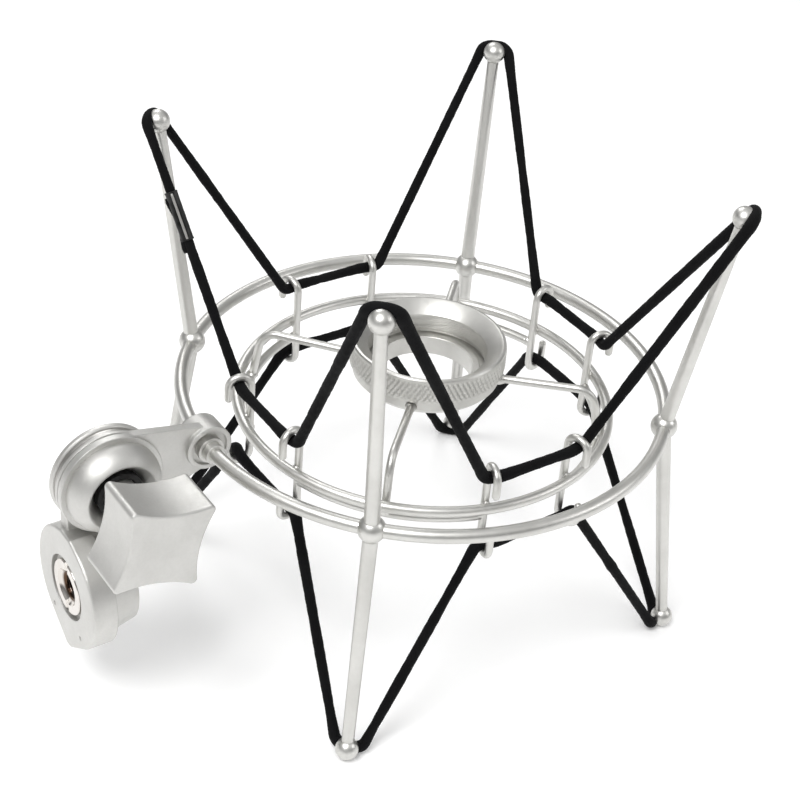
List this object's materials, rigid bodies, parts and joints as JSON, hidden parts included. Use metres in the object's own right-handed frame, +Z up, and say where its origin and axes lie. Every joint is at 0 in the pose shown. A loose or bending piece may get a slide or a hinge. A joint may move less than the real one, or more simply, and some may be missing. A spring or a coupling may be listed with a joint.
{
  "type": "microphone shock mount",
  "caption": "Elastic suspension mount for a large microphone: ring frame with ball-tipped posts, cord-hung inner cage with a knurled ring nut, and a tilting stand socket.",
  "frame": {"origin": "centre of the microphone thread in the ring nut", "axes": "+Z up along the microphone's axis; the stand socket stands out towards -X; the clamp knob faces -Y; the posts stand at 45 degrees to X and Y"},
  "size_m": [0.1984, 0.1542, 0.1567],
  "materials": {
    "satin_nickel_rod": "satin nickel plating on steel rod",
    "satin_nickel_ball": "satin nickel plating on turned steel",
    "turned_nickel": "satin nickel plating, turned and knurled",
    "satin_alloy": "satin nickel plated casting",
    "friction_disc": "machined face, slightly darker",
    "crimp_steel": "bright drawn steel",
    "dark_screw": "dark oiled steel",
    "adapter_chrome": "bright chrome plating",
    "black_washer": "matte black",
    "black_elastic": "woven black sheath over rubber cord"
  },
  "bodies": {
    "outer_frame": {"outer_ring": "satin_nickel_rod", "hub_rear_left": "satin_nickel_ball", "hub_rear_right": "satin_nickel_ball", "hub_front_right": "satin_nickel_ball", "hub_front_left": "satin_nickel_ball", "upper_post_rear_left": "satin_nickel_rod", "upper_tip_rear_left": "satin_nickel_ball", "upper_post_rear_right": "satin_nickel_rod", "upper_tip_rear_right": "satin_nickel_ball", "upper_post_front_right": "satin_nickel_rod", "upper_tip_front_right": "satin_nickel_ball", "upper_post_front_left": "satin_nickel_rod", "upper_tip_front_left": "satin_nickel_ball", "lower_post_rear_left": "satin_nickel_rod", "lower_tip_rear_left": "satin_nickel_ball", "lower_post_rear_right": "satin_nickel_rod", "lower_tip_rear_right": "satin_nickel_ball", "lower_post_front_right": "satin_nickel_rod", "lower_tip_front_right": "satin_nickel_ball", "lower_post_front_left": "satin_nickel_rod", "lower_tip_front_left": "satin_nickel_ball", "upper_elastic": "black_elastic", "upper_crimp_sleeve": "crimp_steel", "lower_elastic": "black_elastic", "lower_crimp_sleeve": "crimp_steel", "bracket_plate": "satin_alloy", "ring_collars": "satin_nickel_ball", "bracket_grub_screw": "dark_screw", "hinge_bell": "satin_alloy", "bell_sleeve": "black_washer", "fixed_friction_disc": "friction_disc"},
    "inner_cage": {"inner_ring": "satin_nickel_rod", "nut_carrier": "turned_nickel", "hook_rear_left_a": "satin_nickel_rod", "hook_rear_left_b": "satin_nickel_rod", "arc_bar_rear_left": "satin_nickel_rod", "spoke_rear_left": "satin_nickel_rod", "hook_rear_right_a": "satin_nickel_rod", "hook_rear_right_b": "satin_nickel_rod", "arc_bar_rear_right": "satin_nickel_rod", "spoke_rear_right": "satin_nickel_rod", "hook_front_right_a": "satin_nickel_rod", "hook_front_right_b": "satin_nickel_rod", "arc_bar_front_right": "satin_nickel_rod", "spoke_front_right": "satin_nickel_rod", "hook_front_left_a": "satin_nickel_rod", "hook_front_left_b": "satin_nickel_rod", "arc_bar_front_left": "satin_nickel_rod", "spoke_front_left": "satin_nickel_rod"},
    "microphone_nut": {"ring_nut": "turned_nickel", "retaining_clip": "dark_screw"},
    "stand_socket": {"turning_friction_disc": "friction_disc", "socket_housing": "satin_alloy"},
    "clamp": {"clamp_knob": "satin_alloy", "clamp_screw": "crimp_steel"},
    "adapter": {"thread_adapter": "adapter_chrome"}
  },
  "joints": [
    {"name": "cage_float", "type": "slide", "parent": "outer_frame", "child": "inner_cage", "axis": [0, 0, 1], "range_m": [-0.008, 0.008], "stiffness_N_per_m": 1500, "springref_m": 0.001, "deforming": ["upper_elastic", "lower_elastic"]},
    {"name": "nut_turn", "type": "hinge", "parent": "inner_cage", "child": "microphone_nut", "pos_m": [0, 0, 0], "axis": [0, 0, 1], "continuous": true},
    {"name": "socket_tilt", "type": "hinge", "parent": "outer_frame", "child": "stand_socket", "pos_m": [-0.1054, 0, -0.0138], "axis": [0, 1, 0], "range_deg": [-45, 180]},
    {"name": "knob_turn", "type": "hinge", "parent": "stand_socket", "child": "clamp", "pos_m": [-0.1054, 0, -0.0138], "axis": [0, 1, 0], "continuous": true},
    {"name": "adapter_turn", "type": "hinge", "parent": "stand_socket", "child": "adapter", "pos_m": [-0.115, 0.005, -0.0496], "axis": [1, 0, 0], "continuous": true}
  ]
}
